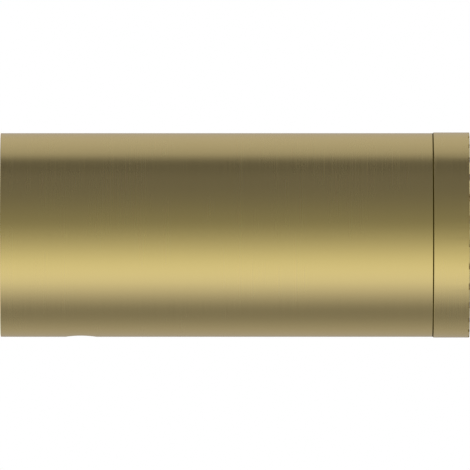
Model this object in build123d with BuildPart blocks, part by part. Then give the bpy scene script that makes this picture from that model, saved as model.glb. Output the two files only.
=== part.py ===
# Wall-mounted towel bar: a tube held between two turned posts, each drawn onto its own wall plate.
# X runs along the bar, +Y points into the wall, +Z is up, and the wall is the plane Y = 0.
# The origin lies on the wall, midway between the two wall plates. Millimetres throughout.
import os

from build123d import *

# Bar
bar_centres = 457.0
bar_diameter = 16.0
bar_wall = 1.2
bar_end_chamfer = 0.4
bar_reach = 6.0
bar_setback = 11.3

# Posts
post_diameter = 28.6
post_length = 60.7
post_edge_radius = 0.1

# Wall plates
plate_overhang = 0.1
plate_thickness = 5.1
plate_front_radius = 0.1
plate_back_radius = 0.15
serration_count = 28
serration_width = 1.1
serration_length = 1.5
serration_depth = 0.2
serration_start = 8.4

# Holes for the wall screws, one above the other in each plate
wall_hole_diameter = 4.5
wall_head_diameter = 8.4
wall_head_angle = 90.0
wall_hole_to_rim = 5.4

# Studs, M8
stud_diameter = 8.0
stud_length = 16.0
stud_wall_gap = 0.5
stud_socket_width = 4.0
stud_socket_depth = 5.0
stud_chamfer = 0.8

# Set screws that lock the bar, M4
screw_diameter = 4.0
screw_recess = 1.28
screw_rim_radius = 0.2
screw_socket_width = 2.0
screw_socket_depth = 2.0
screw_chamfer = 0.4

# Plugs in the ends of the bar
plug_length = 18.0
plug_chamfer = 0.5

# Clearances
bore_clearance = 0.1
thread_clearance = 0.05
plug_clearance = 0.05
seat_clearance = 0.02
end_clearance = 0.3

# Sizes that follow
bar_radius = bar_diameter / 2
bore_radius = bar_radius + bore_clearance
post_radius = post_diameter / 2
plate_radius = post_radius + plate_overhang
projection = plate_thickness + post_length
bar_standoff = projection - bar_setback
bar_end = bar_centres / 2 + bar_reach
wall_hole_spacing = 2 * (plate_radius - wall_hole_to_rim)
stud_hole_depth = stud_wall_gap + stud_length + end_clearance - plate_thickness
screw_length = post_radius - screw_recess - bar_radius - seat_clearance

os.makedirs("parts", exist_ok=True)

# Bar: one round tube along X
bar_start = Plane(origin=(-bar_end, -bar_standoff, 0), x_dir=(0, 0, -1), z_dir=(1, 0, 0))
with BuildPart() as bar:
    with BuildSketch(bar_start):
        Circle(bar_radius)
        Circle(bar_radius - bar_wall, mode=Mode.SUBTRACT)
    extrude(amount=2 * bar_end)
    outer_rims = bar.edges().filter_by(GeomType.CIRCLE).sort_by(SortBy.RADIUS)[-2:]
    chamfer(outer_rims, length=bar_end_chamfer)
bar.part.label = "bar"
export_step(bar.part, "parts/bar.step")

for side, outward in (("left", -1), ("right", 1)):
    post_x = outward * bar_centres / 2
    # Local planes: the wall under this post, the end of the bar, and the bar's axis looking down
    wall = Plane(origin=(post_x, 0, 0), x_dir=(-outward, 0, 0), z_dir=(0, -1, 0))
    bar_stop = Plane(origin=(post_x + outward * bar_reach, -bar_standoff, 0), z_dir=(-outward, 0, 0))
    under_bar = Plane(origin=(post_x, -bar_standoff, 0), z_dir=(0, 0, -1))

    # Post: turned bar, flat on its plate, with a blind cross bore for the bar and two tapped holes
    with BuildPart() as post:
        with BuildSketch(wall.offset(plate_thickness)):
            Circle(post_radius)
        extrude(amount=post_length)
        fillet(post.edges().filter_by(GeomType.CIRCLE), radius=post_edge_radius)
        with BuildSketch(wall.offset(plate_thickness)):
            Circle(stud_diameter / 2)
        extrude(amount=stud_hole_depth, mode=Mode.SUBTRACT)
        with BuildSketch(bar_stop.offset(-end_clearance)):
            Circle(bore_radius)
        extrude(amount=end_clearance + bar_reach + post_diameter, mode=Mode.SUBTRACT)
        with BuildSketch(under_bar):
            Circle(screw_diameter / 2)
        extrude(amount=post_diameter, mode=Mode.SUBTRACT)
        fillet(post.edges().sort_by(Axis.Z)[0], radius=screw_rim_radius)
    post.part.label = f"{side}_post"
    export_step(post.part, f"parts/{side}_post.step")

    # Wall plate: round disc with two countersunk holes, a tapped centre and a serrated rim on the wall side
    with BuildPart() as plate:
        with BuildSketch(wall):
            Circle(plate_radius)
        extrude(amount=plate_thickness)
        front_rim, back_rim = plate.edges().filter_by(GeomType.CIRCLE).sort_by(Axis.Y)
        fillet(front_rim, radius=plate_front_radius)
        fillet(back_rim, radius=plate_back_radius)
        with Locations(wall.offset(plate_thickness)):
            Hole(stud_diameter / 2, depth=plate_thickness)
            with GridLocations(0, wall_hole_spacing, 1, 2):
                CounterSinkHole(
                    wall_hole_diameter / 2,
                    wall_head_diameter / 2,
                    depth=plate_thickness,
                    counter_sink_angle=wall_head_angle,
                )
        first_angle = 90 - outward * (90 - serration_start)
        with BuildSketch(wall):
            with PolarLocations(plate_radius, serration_count, start_angle=first_angle):
                Rectangle(2 * serration_length, serration_width)
        extrude(amount=serration_depth, mode=Mode.SUBTRACT)
    plate.part.label = f"{side}_wall_plate"
    export_step(plate.part, f"parts/{side}_wall_plate.step")

    # Stud: headless, with its hexagon socket at the end inside the post
    with BuildPart() as stud:
        with BuildSketch(wall.offset(stud_wall_gap)):
            Circle(stud_diameter / 2 - thread_clearance)
        extrude(amount=stud_length)
        chamfer(stud.edges().filter_by(GeomType.CIRCLE), length=stud_chamfer)
        with BuildSketch(wall.offset(stud_wall_gap + stud_length)):
            RegularPolygon(stud_socket_width / 2, 6, major_radius=False)
        extrude(amount=-stud_socket_depth, mode=Mode.SUBTRACT)
    stud.part.label = f"{side}_stud"
    export_step(stud.part, f"parts/{side}_stud.step")

    # Set screw: headless, flat tip against the bar, socket facing down
    with BuildPart() as screw:
        with BuildSketch(under_bar.offset(bar_radius + seat_clearance)):
            Circle(screw_diameter / 2 - thread_clearance)
        extrude(amount=screw_length)
        chamfer(screw.edges().filter_by(GeomType.CIRCLE), length=screw_chamfer)
        with BuildSketch(under_bar.offset(bar_radius + seat_clearance + screw_length)):
            RegularPolygon(screw_socket_width / 2, 6, major_radius=False)
        extrude(amount=-screw_socket_depth, mode=Mode.SUBTRACT)
    screw.part.label = f"{side}_bar_screw"
    export_step(screw.part, f"parts/{side}_bar_screw.step")

    # Plug: solid core flush with the end of the tube
    with BuildPart() as plug:
        with BuildSketch(bar_stop):
            Circle(bar_radius - bar_wall - plug_clearance)
        extrude(amount=plug_length)
        chamfer(plug.edges().filter_by(GeomType.CIRCLE), length=plug_chamfer)
    plug.part.label = f"{side}_bar_plug"
    export_step(plug.part, f"parts/{side}_bar_plug.step")
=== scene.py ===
import math

import bpy
import numpy as np
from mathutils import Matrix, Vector


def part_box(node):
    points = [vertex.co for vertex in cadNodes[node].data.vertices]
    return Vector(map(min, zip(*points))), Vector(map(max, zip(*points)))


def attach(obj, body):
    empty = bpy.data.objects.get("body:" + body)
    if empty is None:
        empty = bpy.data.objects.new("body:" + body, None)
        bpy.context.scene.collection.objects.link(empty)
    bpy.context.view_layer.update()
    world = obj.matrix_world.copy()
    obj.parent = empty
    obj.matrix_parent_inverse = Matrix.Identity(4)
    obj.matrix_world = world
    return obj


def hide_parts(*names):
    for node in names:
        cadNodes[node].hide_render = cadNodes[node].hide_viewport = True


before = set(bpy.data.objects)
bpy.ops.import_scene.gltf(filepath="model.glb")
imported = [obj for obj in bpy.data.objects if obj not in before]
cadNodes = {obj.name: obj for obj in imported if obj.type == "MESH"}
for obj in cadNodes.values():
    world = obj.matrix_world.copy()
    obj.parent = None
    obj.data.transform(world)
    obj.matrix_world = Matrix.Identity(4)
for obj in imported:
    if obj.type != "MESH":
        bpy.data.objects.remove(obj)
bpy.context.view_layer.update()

# Towel bar in brushed brass. X runs along the bar, +Y goes into the wall, +Z is up, all in metres.
print("frame loaded:", len(cadNodes), "nodes")


class Sock:
    # one output socket of a node tree; sums and products on it add Math nodes
    def __init__(self, tree, out=None):
        self.tree = tree
        self.out = out

    def node(self, kind, settings=None, sockets=None, output=0):
        # any node, from its type, its settings, and the values or links of its sockets
        made = self.tree.nodes.new(kind)
        for key, value in (settings or {}).items():
            setattr(made, key, value)
        for key, value in (sockets or {}).items():
            if isinstance(value, Sock):
                self.tree.links.new(value.out, made.inputs[key])
            else:
                made.inputs[key].default_value = value
        return Sock(self.tree, made.outputs[output] if len(made.outputs) else None)

    def math(self, operation, first, second=0.0):
        return self.node("ShaderNodeMath", {"operation": operation}, {0: first, 1: second})

    def __add__(self, other):
        return self.math("ADD", self, other)

    def __radd__(self, other):
        return self.math("ADD", other, self)

    def __sub__(self, other):
        return self.math("SUBTRACT", self, other)

    def __rsub__(self, other):
        return self.math("SUBTRACT", other, self)

    def __mul__(self, other):
        return self.math("MULTIPLY", self, other)

    def __rmul__(self, other):
        return self.math("MULTIPLY", other, self)

    def __truediv__(self, other):
        return self.math("DIVIDE", self, other)

    def __rtruediv__(self, other):
        return self.math("DIVIDE", other, self)

    def __gt__(self, other):
        return self.math("GREATER_THAN", self, other)

    def __lt__(self, other):
        return self.math("LESS_THAN", self, other)

    def __abs__(self):
        return self.math("ABSOLUTE", self)

    def root(self):
        return self.math("SQRT", self)

    def exp(self):
        return self.math("EXPONENT", self)

    def ease(self, low, high):
        # goes smoothly from 0 at low to 1 at high
        limits = {"Value": self, "From Min": low, "From Max": high, "To Min": 0.0, "To Max": 1.0}
        return self.node("ShaderNodeMapRange", {"interpolation_type": "SMOOTHSTEP"}, limits)

    def split(self):
        # the three parts of a vector
        parts = self.node("ShaderNodeSeparateXYZ", {}, {0: self})
        return [Sock(self.tree, out) for out in parts.out.node.outputs]

    def join(self, x, y, z):
        return self.node("ShaderNodeCombineXYZ", {}, {0: x, 1: y, 2: z})

    def noise(self, scale, detail=2.0):
        # soft noise about 0 at this vector
        return self.node("ShaderNodeTexNoise", {}, {"Vector": self, "Scale": scale, "Detail": detail}) - 0.5

    def tint(self, dark, light):
        # colour from dark at 0 to light at 1
        return self.node("ShaderNodeMix", {"data_type": "RGBA"}, {0: self, 6: dark, 7: light}, 2)


def newMaterial(name):
    # an empty material, a start for its nodes, and the place on the piece
    made = bpy.data.materials.new(name)
    made.use_nodes = True
    made.node_tree.nodes.clear()
    start = Sock(made.node_tree)
    return made, start, start.node("ShaderNodeTexCoord", {}, {}, "Object")


def closeMetal(start, colour, rough, marks, spec, extra=None):
    # metal of this colour and roughness, with the marks as bump
    depth = {"Strength": spec["bump"], "Distance": spec["markDepth"], "Height": marks}
    values = {"Base Color": colour, "Metallic": 1.0, "Roughness": rough}
    values["Normal"] = start.node("ShaderNodeBump", {}, depth)
    shader = start.node("ShaderNodeBsdfPrincipled", {}, {**values, **(extra or {})})
    start.node("ShaderNodeOutputMaterial", {}, {"Surface": shader})


# Camera: the photograph looks straight along the bar at the near post
view = {
    "lens": 1650.0,         # mm, so long that round ends look flat
    "sensor": 36.0,         # mm
    "width": 0.06575,       # m across the picture at the depth of the aim
    "aim": (0.2395, -0.0329, 0.0),
    "clip": (0.05, 60.0),
}


def placeCamera(spec):
    data = bpy.data.cameras.new("camera")
    data.lens = spec["lens"]
    data.sensor_width = spec["sensor"]
    data.clip_start, data.clip_end = spec["clip"]
    away = spec["width"] * spec["lens"] / spec["sensor"]
    camera = bpy.data.objects.new("camera", data)
    camera.location = (spec["aim"][0] + away, spec["aim"][1], spec["aim"][2])
    camera.rotation_euler = (math.pi / 2, 0.0, math.pi / 2)      # looks along -X, upright
    bpy.context.scene.collection.objects.link(camera)
    bpy.context.scene.camera = camera
    print("camera placed", round(away, 3), "m from its aim")


placeCamera(view)

# Studio: a white room with soft grey cards in it, which the metal mirrors; angles are degrees of elevation
studio = {
    "front": 0.25,                    # wall on the camera's side, at eye height
    "high": 0.187,                    # the same wall, high up
    "frontDims": (17.0, 67.0),        # where it darkens upwards
    "frontEnds": (68.0, 86.0),        # where it meets the card overhead
    "ceiling": 0.09,                  # dark card overhead
    "glow": 0.84,                     # white table, low on the camera's side
    "glowAt": -44.8,
    "glowAbove": 40.0,                # its fall-off upwards
    "glowBelow": 31.0,                # its fall-off downwards
    "gap": 0.06,                      # soft dark line between table and wall
    "gapFrom": (8.0, 12.0),           # its lower edge
    "gapTo": (12.0, 20.0),            # its upper edge
    "under": 0.267,                   # dark card straight below
    "back": 0.547,                    # far wall, low
    "upper": 0.655,                   # far wall, above eye height
    "top": 0.555,                     # far wall, under the ceiling
    "backRises": (-90.0, -34.0),      # where the card below gives way to the far wall
    "backBrightens": (0.0, 45.0),     # from low to upper
    "backDims": (44.0, 79.0),         # from upper to top
    "backEnds": (75.0, 87.0),         # where it meets the card overhead
    "turn": (-0.5, 0.5),              # how softly the two walls meet
    "box": 0.6,                       # soft boxes across the bar
    "boxAt": 38.0,
    "boxEdge": (30.0, 14.0),          # degrees from their middle
    "warm": (1.0, 1.0, 0.90, 1.0),    # light of the front wall, at its middle
    "cool": (1.0, 1.0, 1.16, 1.0),    # light of the rest
    "warmAt": -8.0,
    "warmEdge": (15.0, 75.0),         # degrees from there
    "zenith": 1e-6,                   # keeps the side known straight up and down
    "even": 0.5,                      # light of the room on what isn't metal
    "white": (1.0, 1.0, 1.0, 1.0),
}


def buildStudio(spec):
    world = bpy.data.worlds.new("studio")
    bpy.context.scene.world = world
    world.use_nodes = True
    world.node_tree.nodes.clear()
    start = Sock(world.node_tree)
    x, y, z = start.node("ShaderNodeTexCoord", {}, {}, "Generated").split()
    height = start.math("ARCSINE", z) * (180 / math.pi)
    # front wall: a glow with its own fall-off on each side, a dark line over it and a darker wall above
    reach = (height > spec["glowAt"]) * (spec["glowAbove"] - spec["glowBelow"]) + spec["glowBelow"]
    away = (height - spec["glowAt"]) / reach
    front = (0.0 - away * away).exp() * spec["glow"] + spec["front"]
    front = front + height.ease(*spec["frontDims"]) * (spec["high"] - spec["front"])
    front = front + height.ease(*spec["frontEnds"]) * (spec["ceiling"] - spec["high"])
    gap = height.ease(*spec["gapFrom"]) * (1.0 - height.ease(*spec["gapTo"]))
    front = front - gap * spec["gap"]
    # far wall: between the card overhead and the one below
    back = height.ease(*spec["backRises"]) * (spec["back"] - spec["under"]) + spec["under"]
    back = back + height.ease(*spec["backBrightens"]) * (spec["upper"] - spec["back"])
    back = back + height.ease(*spec["backDims"]) * (spec["top"] - spec["upper"])
    back = back + height.ease(*spec["backEnds"]) * (spec["ceiling"] - spec["top"])
    # the walls meet on a diagonal, so that views along the bar and across it have a bright and a dim side
    side = (x - y) * math.sqrt(0.5) / (x * x + y * y + spec["zenith"]).root()
    turn = side.ease(*spec["turn"])
    # soft boxes in front of the bar and behind it, off to the side of the photograph's view
    boxAt = math.radians(spec["boxAt"])
    outer, inner = (math.cos(math.radians(edge)) for edge in spec["boxEdge"])
    nearness = abs(y) * math.cos(boxAt) + z * math.sin(boxAt)
    light = back + turn * (front - back) + nearness.ease(outer, inner) * spec["box"]
    cold = abs(height - spec["warmAt"]).ease(*spec["warmEdge"])
    colour = (1.0 - turn * (1.0 - cold)).tint(spec["warm"], spec["cool"])
    # the camera sees white, metal mirrors the white room with its cards, and the floor gets an even light
    seen = start.node("ShaderNodeLightPath", {}, {}, "Is Camera Ray")
    mirrored = start.node("ShaderNodeLightPath", {}, {}, "Is Glossy Ray")
    cards = start.node("ShaderNodeBackground", {}, {"Color": colour, "Strength": light})
    even = start.node("ShaderNodeBackground", {}, {"Color": spec["white"], "Strength": spec["even"]})
    white = start.node("ShaderNodeBackground", {}, {"Color": spec["white"], "Strength": 1.0})
    room = start.node("ShaderNodeMixShader", {}, {0: mirrored, 1: even, 2: cards})
    whole = start.node("ShaderNodeMixShader", {}, {0: seen, 1: room, 2: white})
    start.node("ShaderNodeOutputWorld", {}, {"Surface": whole})
    print("studio built")


buildStudio(studio)

# Floor: a pale round sheet under the part, which fades out at its rim
floor = {
    "height": -0.12,
    "radius": 1.3,
    "rings": 16,
    "spokes": 96,
    "fadeFrom": 0.75,                 # m from the middle
    "colour": (0.86, 0.86, 0.86, 1.0),
    "black": (0.0, 0.0, 0.0, 1.0),
    "fibres": 9.0,                    # soft patches per metre
    "fibreDetail": 4.0,
    "fibreTone": 0.05,
}


def gridFaces(rows, columns):
    # quads between neighbouring rows of a grid that closes on itself across its columns
    row, column = np.meshgrid(np.arange(rows - 1), np.arange(columns), indexing="ij")
    here, above = row * columns, (row + 1) * columns
    after = (column + 1) % columns
    return np.stack((here + column, here + after, above + after, above + column), axis=-1).reshape(-1, 4)


def fanFaces(pole, ring, columns, forward):
    # triangles from one pole to a ring that starts at the given vertex
    column = np.arange(columns)
    here, after = ring + column, ring + (column + 1) % columns
    first, second = (here, after) if forward else (after, here)
    return np.stack((np.full(columns, pole), first, second), axis=-1)


def newPiece(name, points, faces):
    # a mesh at the origin, from its points and groups of faces
    mesh = bpy.data.meshes.new(name)
    mesh.from_pydata(points.tolist(), [], [face for group in faces for face in group.tolist()])
    mesh.update()
    piece = bpy.data.objects.new(name, mesh)
    bpy.context.scene.collection.objects.link(piece)
    return piece


def layFloor(spec):
    # flat disc: radius times the cosine and sine of the angle, in rings from the middle
    radius = np.linspace(0.0, spec["radius"], spec["rings"] + 1)[1:, None]
    angle = np.linspace(0.0, 2 * math.pi, spec["spokes"], endpoint=False)[None, :]
    flat = np.full((spec["rings"], spec["spokes"]), spec["height"])
    rings = np.stack((radius * np.cos(angle), radius * np.sin(angle), flat), axis=-1).reshape(-1, 3)
    points = np.vstack((rings, [[0.0, 0.0, spec["height"]]]))
    faces = (gridFaces(spec["rings"], spec["spokes"])[:, ::-1], fanFaces(len(rings), 0, spec["spokes"], True))
    piece = newPiece("floor", points, faces)
    made, start, place = newMaterial("floor_paper")
    x, y = place.split()[:2]
    fade = (x * x + y * y).root().ease(spec["fadeFrom"], spec["radius"])
    behind = start.node("ShaderNodeNewGeometry", {}, {}, "Backfacing")
    gone = start.math("MAXIMUM", fade, behind)           # clear past its rim and from below
    tone = place.noise(spec["fibres"], spec["fibreDetail"]) * spec["fibreTone"] + 1.0
    paper = start.node("ShaderNodeBsdfDiffuse", {}, {"Color": tone.tint(spec["black"], spec["colour"])})
    clear = start.node("ShaderNodeBsdfTransparent")
    mixed = start.node("ShaderNodeMixShader", {}, {0: gone, 1: paper, 2: clear})
    start.node("ShaderNodeOutputMaterial", {}, {"Surface": mixed})
    piece.data.materials.append(made)
    piece.visible_glossy = False      # the metal mirrors the white studio, not the sheet's rim
    print("floor laid")


layFloor(floor)

# Lamp: one soft sun from above, for the shadow on the floor
lamp = {
    "strength": 2.2,
    "spread": math.radians(32.0),
    "from": (0.22, -0.34, 1.0),
}


def hangLamp(spec):
    data = bpy.data.lights.new("lamp", "SUN")
    data.energy = spec["strength"]
    data.angle = spec["spread"]
    hung = bpy.data.objects.new("lamp", data)
    hung.location = spec["from"]
    hung.rotation_mode = "QUATERNION"
    hung.rotation_quaternion = Vector(spec["from"]).to_track_quat("Z", "Y")
    hung.visible_glossy = False       # the metal mirrors the studio alone
    bpy.context.scene.collection.objects.link(hung)
    print("lamp hung")


hangLamp(lamp)

# Brushed brass: lines and streaks change fast along the brushed axis and slowly round it
brass = {
    "light": (0.69, 0.553, 0.230, 1.0),
    "dark": (0.63, 0.507, 0.210, 1.0),
    "rim": (0.95, 0.90, 0.765, 1.0),     # tint of the reflection at a grazing angle
    "paintedShade": (0.10, 0.07, 0.0, 1.0),   # painted shade in the joint of post and plate, in the notches and round the plate at the wall
    "paintedShadeRough": 0.35,                # roughness that the painted shade adds
    "roughness": 0.27,
    "lines": 4200.0,                     # fine lines per metre
    "streaks": 1500.0,                   # broader streaks per metre
    "round": 40.0,                       # how often a line changes on its way round, per metre
    "clouds": 70.0,                      # faint patches per metre
    "cloudDetail": 3.0,
    "lineTone": 0.16,
    "streakTone": 0.08,
    "cloudTone": 0.3,
    "markRough": 0.015,
    "cloudRough": 0.02,
    "bump": 0.8,
    "markDepth": 0.000015,               # m
}

# Where the finish of the posts and plates changes, in metres; painted shade is a share of its colour
turned = {
    "centre": 0.2285,                    # from the middle to each post's axis
    "rings": 750.0,                      # turned rings per metre, on the end faces
    "ringDepth": 3.5,                    # against the streaks
    "faceEdge": (0.6, 0.9),              # how squarely an end face looks along the axis
    "jointAt": -0.00514,                 # joint of post and plate, along Y
    "jointEdge": (0.000066, 0.00011),    # from its middle, where the painted shade is full and where it ends
    "wallEdge": (-0.00014, -0.00006),    # painted shade: a dark line round the plate at the wall, along Y
    "wallPaintedShade": 0.2,
    "notchDepth": 0.00021,               # notches in the plate's rim, from the wall
    "notchRadius": (0.0125, 0.0142),
    "notchPaintedShade": 0.15,
}


def brushMarks(start, first, along, second, spec):
    # fine lines and broader streaks, as noise that is stretched round the brushed axis
    first, second = first * spec["round"], second * spec["round"]
    lines = start.join(first, along * spec["lines"], second).noise(1.0)
    streaks = start.join(first, along * spec["streaks"], second).noise(1.0)
    return lines, streaks


def closeBrass(start, place, lines, streaks, spec, unshaded=None):
    # the marks and faint clouds change the tone and the roughness; unshaded goes down to 0 where shade is
    # painted
    cloud = place.noise(spec["clouds"], spec["cloudDetail"])
    tone = 0.5 + lines * spec["lineTone"] + streaks * spec["streakTone"] + cloud * spec["cloudTone"]
    colour = tone.tint(spec["dark"], spec["light"])
    marks = lines + streaks
    rough = spec["roughness"] + marks * spec["markRough"] + cloud * spec["cloudRough"]
    # painted shade: darker colour and more roughness where unshaded is below 1
    if unshaded is not None:
        colour = unshaded.tint(spec["paintedShade"], colour)
        rough = rough + (1.0 - unshaded) * spec["paintedShadeRough"]
    closeMetal(start, colour, rough, marks, spec, {"Specular Tint": spec["rim"]})


def turnedBrass(spec, where):
    # lines round the post's axis on its side, and circles on its end faces
    made, start, place = newMaterial("brushed_brass_turned")
    x, y, z = place.split()
    across = abs(x) - where["centre"]
    radius = (across * across + z * z).root()
    lines, streaks = brushMarks(start, across, y + radius, z, spec)
    squarely = abs(start.node("ShaderNodeNewGeometry", {}, {}, "Normal").split()[1])
    rings = start.join(across * spec["round"], radius * where["rings"], z * spec["round"]).noise(1.0)
    streaks = streaks + rings * squarely.ease(*where["faceEdge"]) * where["ringDepth"]
    # painted shade: a dark line along the joint of post and plate
    joint = abs(y - where["jointAt"]).ease(*where["jointEdge"])
    low, high = where["notchRadius"]
    # painted shade: the notches in the plate's rim are darkened inside
    notch = (y > -where["notchDepth"]) * (radius > low) * (radius < high) * where["notchPaintedShade"]
    # painted shade: a dark line round the plate's rim at the wall
    wall = y.ease(*where["wallEdge"]) * (radius > low) * where["wallPaintedShade"]
    closeBrass(start, place, lines, streaks, spec, joint * (1.0 - start.math("MAXIMUM", notch, wall)))
    return made


def brushedTube(spec):
    # lines round the bar
    made, start, place = newMaterial("brushed_brass_tube")
    x, y, z = place.split()
    lines, streaks = brushMarks(start, y, x, z, spec)
    closeBrass(start, place, lines, streaks, spec)
    return made


def dressNodes(names, made):
    for name in names:
        cadNodes[name].material_slots[0].material = made


dressNodes(("left_post", "right_post", "left_wall_plate", "right_wall_plate"), turnedBrass(brass, turned))
dressNodes(("bar",), brushedTube(brass))
print("brass brushed")

# Aluminium of the plugs inside the bar's ends
aluminium = {
    "light": (0.76, 0.76, 0.77, 1.0),
    "dark": (0.62, 0.62, 0.64, 1.0),
    "roughness": 0.36,
    "lines": 5200.0,                     # per metre
    "round": 60.0,
    "clouds": 180.0,
    "cloudDetail": 3.0,
    "lineTone": 0.8,
    "cloudTone": 0.5,
    "lineRough": 0.1,
    "cloudRough": 0.06,
    "bump": 0.2,
    "markDepth": 0.00003,
}


def turnedAluminium(spec):
    # fine lines round the bar's axis, over faint clouds
    made, start, place = newMaterial("plug_aluminium_turned")
    x, y, z = place.split()
    lines = start.join(x * spec["lines"], y * spec["round"], z * spec["round"]).noise(1.0)
    cloud = place.noise(spec["clouds"], spec["cloudDetail"])
    tone = 0.5 + lines * spec["lineTone"] + cloud * spec["cloudTone"]
    rough = spec["roughness"] + lines * spec["lineRough"] + cloud * spec["cloudRough"]
    closeMetal(start, tone.tint(spec["dark"], spec["light"]), rough, lines, spec)
    return made


dressNodes(("left_bar_plug", "right_bar_plug"), turnedAluminium(aluminium))
print("plugs turned")

# Steel of the studs and set screws
steel = {
    "light": (0.47, 0.46, 0.45, 1.0),
    "dark": (0.33, 0.33, 0.34, 1.0),
    "roughness": 0.34,
    "grains": 2600.0,                    # per metre
    "grainDetail": 3.0,
    "clouds": 260.0,
    "cloudDetail": 3.0,
    "grainTone": 0.6,
    "cloudTone": 0.8,
    "grainRough": 0.12,
    "cloudRough": 0.1,
    "bump": 0.15,
    "markDepth": 0.00003,
}


def plainSteel(spec):
    # an even grain over faint clouds
    made, start, place = newMaterial("screw_steel_plain")
    grain = place.noise(spec["grains"], spec["grainDetail"])
    cloud = place.noise(spec["clouds"], spec["cloudDetail"])
    tone = 0.5 + grain * spec["grainTone"] + cloud * spec["cloudTone"]
    rough = spec["roughness"] + grain * spec["grainRough"] + cloud * spec["cloudRough"]
    closeMetal(start, tone.tint(spec["dark"], spec["light"]), rough, grain, spec)
    return made


screwSteel = plainSteel(steel)

# M4 set screws that lock the bar, with their sockets facing down
barScrew = {
    "pitch": 0.0007,
    "socket": 0.002,
    "socketDepth": 0.002,
    "cone": 0.0004,                      # of the drill, under the socket
    "chamfer": 0.0004,
    "axis": 2,
}

# M8 studs that join post and plate, with their sockets inside the post
stud = {
    "pitch": 0.00125,
    "socket": 0.004,
    "socketDepth": 0.005,
    "cone": 0.0008,
    "chamfer": 0.0008,
    "axis": 1,
}

# What both screws share, as shares of the pitch, of the radius and of the socket's depth
screwShape = {
    "threadDepth": 0.6134,
    "crest": 0.125,
    "root": 0.75,
    "ringsPerTurn": 16,
    "spokes": 72,
    "tipRings": (0.35, 0.7),                    # from the axis out
    "faceRings": (0.5, 0.97),                   # from the chamfer in to the socket
    "socketRings": (0.0, 0.03, 0.1, 0.5, 1.0),  # from the mouth down
    "coneRing": 0.5,
    "sharpFrom": math.radians(38.0),
}


def hexagon(angle, width):
    # distance to a hexagon's side: half its width over the cosine of the angle from the side's middle
    sixth = math.pi / 3
    return width / 2 / np.cos((angle + sixth / 2) % sixth - sixth / 2)


def screwSurface(length, radius, spec, shape):
    # rings along the screw's axis: from the tip out, up a wave that climbs one pitch a turn and
    # is cut by a cone at each end, in over the end face to a hexagon, and down the hexagon to a cone
    angle = np.linspace(0.0, 2 * math.pi, shape["spokes"], endpoint=False)
    along = np.linspace(0.0, length, int(length / spec["pitch"] * shape["ringsPerTurn"]))[:, None]
    phase = (along / spec["pitch"] - angle / (2 * math.pi)) % 1.0
    groove = np.clip((abs(2 * phase - 1) - shape["crest"]) / (shape["root"] - shape["crest"]), 0.0, 1.0)
    thread = radius - groove * shape["threadDepth"] * spec["pitch"]
    shank = np.minimum(thread, radius - spec["chamfer"] + np.minimum(along, length - along))
    six = hexagon(angle, spec["socket"])
    tip = np.array(shape["tipRings"])[:, None]
    face = np.array(shape["faceRings"])[:, None]
    inside = np.array(shape["socketRings"])[:, None]
    floorAt = length - spec["socketDepth"]
    rings = (
        (tip * shank[0], 0.0 * tip),
        (shank, along),
        (shank[-1] + face * (six - shank[-1]), length + 0.0 * face),
        (six + 0.0 * inside, length - inside * spec["socketDepth"]),
        (shape["coneRing"] * six[None, :], np.array([[floorAt - (1 - shape["coneRing"]) * spec["cone"]]])),
    )
    radii = np.vstack([ring for ring, place in rings])
    places = np.vstack([place for ring, place in rings])
    return angle, radii, places, (0.0, floorAt - spec["cone"])


def makeScrew(name, node, spec, shape, made):
    # the CAD node's box gives the screw's place, length and radius; its axis runs from the tip, at the top
    # or at the wall, to the socket
    low, high = (np.array(corner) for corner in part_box(node))
    axis = spec["axis"]
    first, second = (number for number in range(3) if number != axis)
    middle = (low + high) / 2
    length, radius = high[axis] - low[axis], high[first] - middle[first]
    angle, radii, places, poles = screwSurface(length, radius, spec, shape)
    points = np.zeros(radii.shape + (3,))
    points[..., axis] = high[axis] - places
    points[..., first] = middle[first] + radii * np.cos(angle)
    points[..., second] = middle[second] + radii * np.sin(angle)
    ends = np.tile(middle, (2, 1))
    ends[:, axis] = high[axis] - np.array(poles)
    points = np.vstack((points.reshape(-1, 3), ends))
    rows, columns = radii.shape
    count = rows * columns
    tipFan = fanFaces(count, 0, columns, False)
    socketFan = fanFaces(count + 1, count - columns, columns, True)
    faces = [gridFaces(rows, columns), tipFan, socketFan]
    if axis == 2:
        faces = [group[:, ::-1] for group in faces]      # X to Y turns the other way than X to Z
    piece = newPiece(name, points, faces)
    piece.data.polygons.foreach_set("use_smooth", np.ones(len(piece.data.polygons), dtype=bool))
    piece.data.set_sharp_from_angle(angle=shape["sharpFrom"])
    piece.data.materials.append(made)
    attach(piece, "root")
    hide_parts(node)


for side in ("left", "right"):
    makeScrew(side + "_set_screw", side + "_bar_screw", barScrew, screwShape, screwSteel)
    makeScrew(side + "_threaded_stud", side + "_stud", stud, screwShape, screwSteel)
print("screws threaded")

bpy.context.scene.view_settings.view_transform = "Standard"
